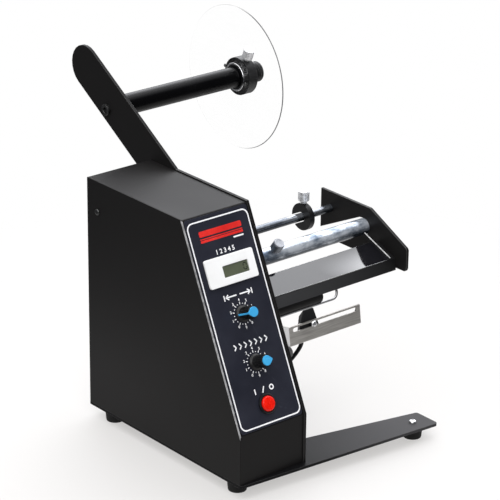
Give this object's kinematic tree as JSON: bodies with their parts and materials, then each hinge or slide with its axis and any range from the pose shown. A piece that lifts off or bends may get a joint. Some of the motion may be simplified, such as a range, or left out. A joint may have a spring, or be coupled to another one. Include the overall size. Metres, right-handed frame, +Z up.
{
  "type": "label dispenser machine",
  "caption": "Desktop label dispenser: slanted control box with dials, counter and red button, roll arm with clear disc, peel plate tray, sensor and driven take-up spindle.",
  "frame": {"origin": "middle of the machine's outline, on the surface that its feet stand on", "axes": "+X from the control box to the outer plate, +Y to the rear, +Z up"},
  "size_m": [0.2708, 0.3926, 0.3574],
  "materials": {
    "black_powder_coat": "satin powder coat",
    "gloss_black": "gloss",
    "black_plastic": "satin",
    "navy_overlay": "fine texture",
    "white_plastic": "satin",
    "display": "glossy window",
    "sky_blue_plastic": "satin",
    "red_lens": "glossy",
    "rubber": "matte",
    "bright_steel": "bright turned steel",
    "black_bolt": "black oxide",
    "brushed_steel": "brushed",
    "chrome": "bright plated",
    "clear_acrylic": "polished",
    "board": "solder mask",
    "cast_grey": "cast",
    "nylon": "moulded",
    "bronze": "sintered"
  },
  "bodies": {
    "frame": {"base_plate": "black_powder_coat", "foot_front_left": "rubber", "foot_screw_front_left": "bright_steel", "foot_rear_left": "rubber", "foot_screw_rear_left": "bright_steel", "foot_rear_right": "rubber", "foot_screw_rear_right": "bright_steel", "foot_arm": "rubber", "foot_screw_arm": "bright_steel", "side_plate": "black_powder_coat", "cover_shell": "black_powder_coat", "cover_screw": "bright_steel", "control_panel": "navy_overlay", "counter_bezel": "white_plastic", "counter_display": "display", "counter_body": "black_plastic", "pot_length": "cast_grey", "pot_speed": "cast_grey", "switch_body": "black_plastic", "spindle_tube": "black_powder_coat", "spindle_bolt": "black_bolt", "spindle_end_cap": "black_plastic", "guide_rod": "bright_steel", "press_tube": "chrome", "outer_plate": "black_powder_coat", "tray_support": "black_powder_coat", "peel_plate": "gloss_black", "takeup_bush": "bronze", "motor_bracket": "brushed_steel", "gearbox": "cast_grey", "motor": "bright_steel", "sensor_bracket": "brushed_steel", "flange_screw_rear": "bright_steel", "flange_screw_front": "bright_steel", "lead_grommet": "rubber", "lead_clip": "cast_grey", "sensor_lead": "black_plastic", "circuit_board": "board", "power_inlet": "black_plastic"},
    "button": {"power_button": "red_lens"},
    "dial_length": {"knob_length": "black_plastic", "knob_cap_length": "sky_blue_plastic"},
    "dial_speed": {"knob_speed": "black_plastic", "knob_cap_speed": "sky_blue_plastic"},
    "hub": {"hub_ring": "bright_steel", "roll_disc": "clear_acrylic", "hub_collar": "black_plastic", "disc_screw_rear": "bright_steel", "disc_screw_front": "bright_steel"},
    "hub_screw": {"hub_thumb_screw": "bright_steel"},
    "guide": {"guide_collar": "black_plastic"},
    "guide_screw": {"guide_thumb_screw": "bright_steel"},
    "tube_screw": {"tube_thumb_screw": "bright_steel"},
    "sensor": {"sensor_body": "black_plastic", "sensor_screw": "bright_steel", "sensor_nut": "bright_steel"},
    "takeup": {"takeup_spindle": "black_powder_coat", "driven_gear": "nylon"},
    "clip": {"paper_clip": "chrome"},
    "drive_pinion": {"pinion": "bright_steel"}
  },
  "joints": [
    {"name": "button_press", "type": "slide", "parent": "frame", "child": "button", "axis": [0, 0.9068, -0.4216], "range_m": [0, 0.0025], "stiffness_N_per_m": 400},
    {"name": "dial_length_turn", "type": "hinge", "parent": "frame", "child": "dial_length", "pos_m": [-0.0956, -0.13341, 0.16263], "axis": [0, -0.9068, 0.4216], "range_deg": [-240, 60]},
    {"name": "dial_speed_turn", "type": "hinge", "parent": "frame", "child": "dial_speed", "pos_m": [-0.0956, -0.15285, 0.12083], "axis": [0, -0.9068, 0.4216], "range_deg": [-60, 240]},
    {"name": "hub_slide", "type": "slide", "parent": "frame", "child": "hub", "axis": [1, 0, 0], "range_m": [-0.14, 0.01]},
    {"name": "hub_screw_turn", "type": "hinge", "parent": "hub", "child": "hub_screw", "pos_m": [0.1137, 0.12148, 0.2826], "axis": [0, -0.3746, 0.9272], "continuous": true},
    {"name": "guide_slide", "type": "slide", "parent": "frame", "child": "guide", "axis": [1, 0, 0], "range_m": [-0.11, 0.029]},
    {"name": "guide_screw_turn", "type": "hinge", "parent": "guide", "child": "guide_screw", "pos_m": [0.06295, -0.03532, 0.1891], "axis": [0, 0, 1], "continuous": true},
    {"name": "tube_screw_turn", "type": "hinge", "parent": "frame", "child": "tube_screw", "pos_m": [-0.02055, -0.08402, 0.18515], "axis": [0, -0.6157, 0.788], "continuous": true},
    {"name": "sensor_slide", "type": "slide", "parent": "frame", "child": "sensor", "axis": [1, 0, 0], "range_m": [-0.0125, 0.05], "deforming": ["sensor_lead"]},
    {"name": "takeup_spin", "type": "hinge", "parent": "frame", "child": "takeup", "pos_m": [-0.05, -0.02702, 0.094], "axis": [1, 0, 0], "continuous": true},
    {"name": "pinion_spin", "type": "hinge", "parent": "frame", "child": "drive_pinion", "pos_m": [-0.07, 0.01498, 0.094], "axis": [1, 0, 0], "continuous": true},
    {"name": "clip_pull", "type": "slide", "parent": "takeup", "child": "clip", "axis": [1, 0, 0], "range_m": [0, 0.15]}
  ],
  "couplings": [
    {"joint": "pinion_spin", "follows": "takeup_spin", "ratio": -2.5}
  ]
}
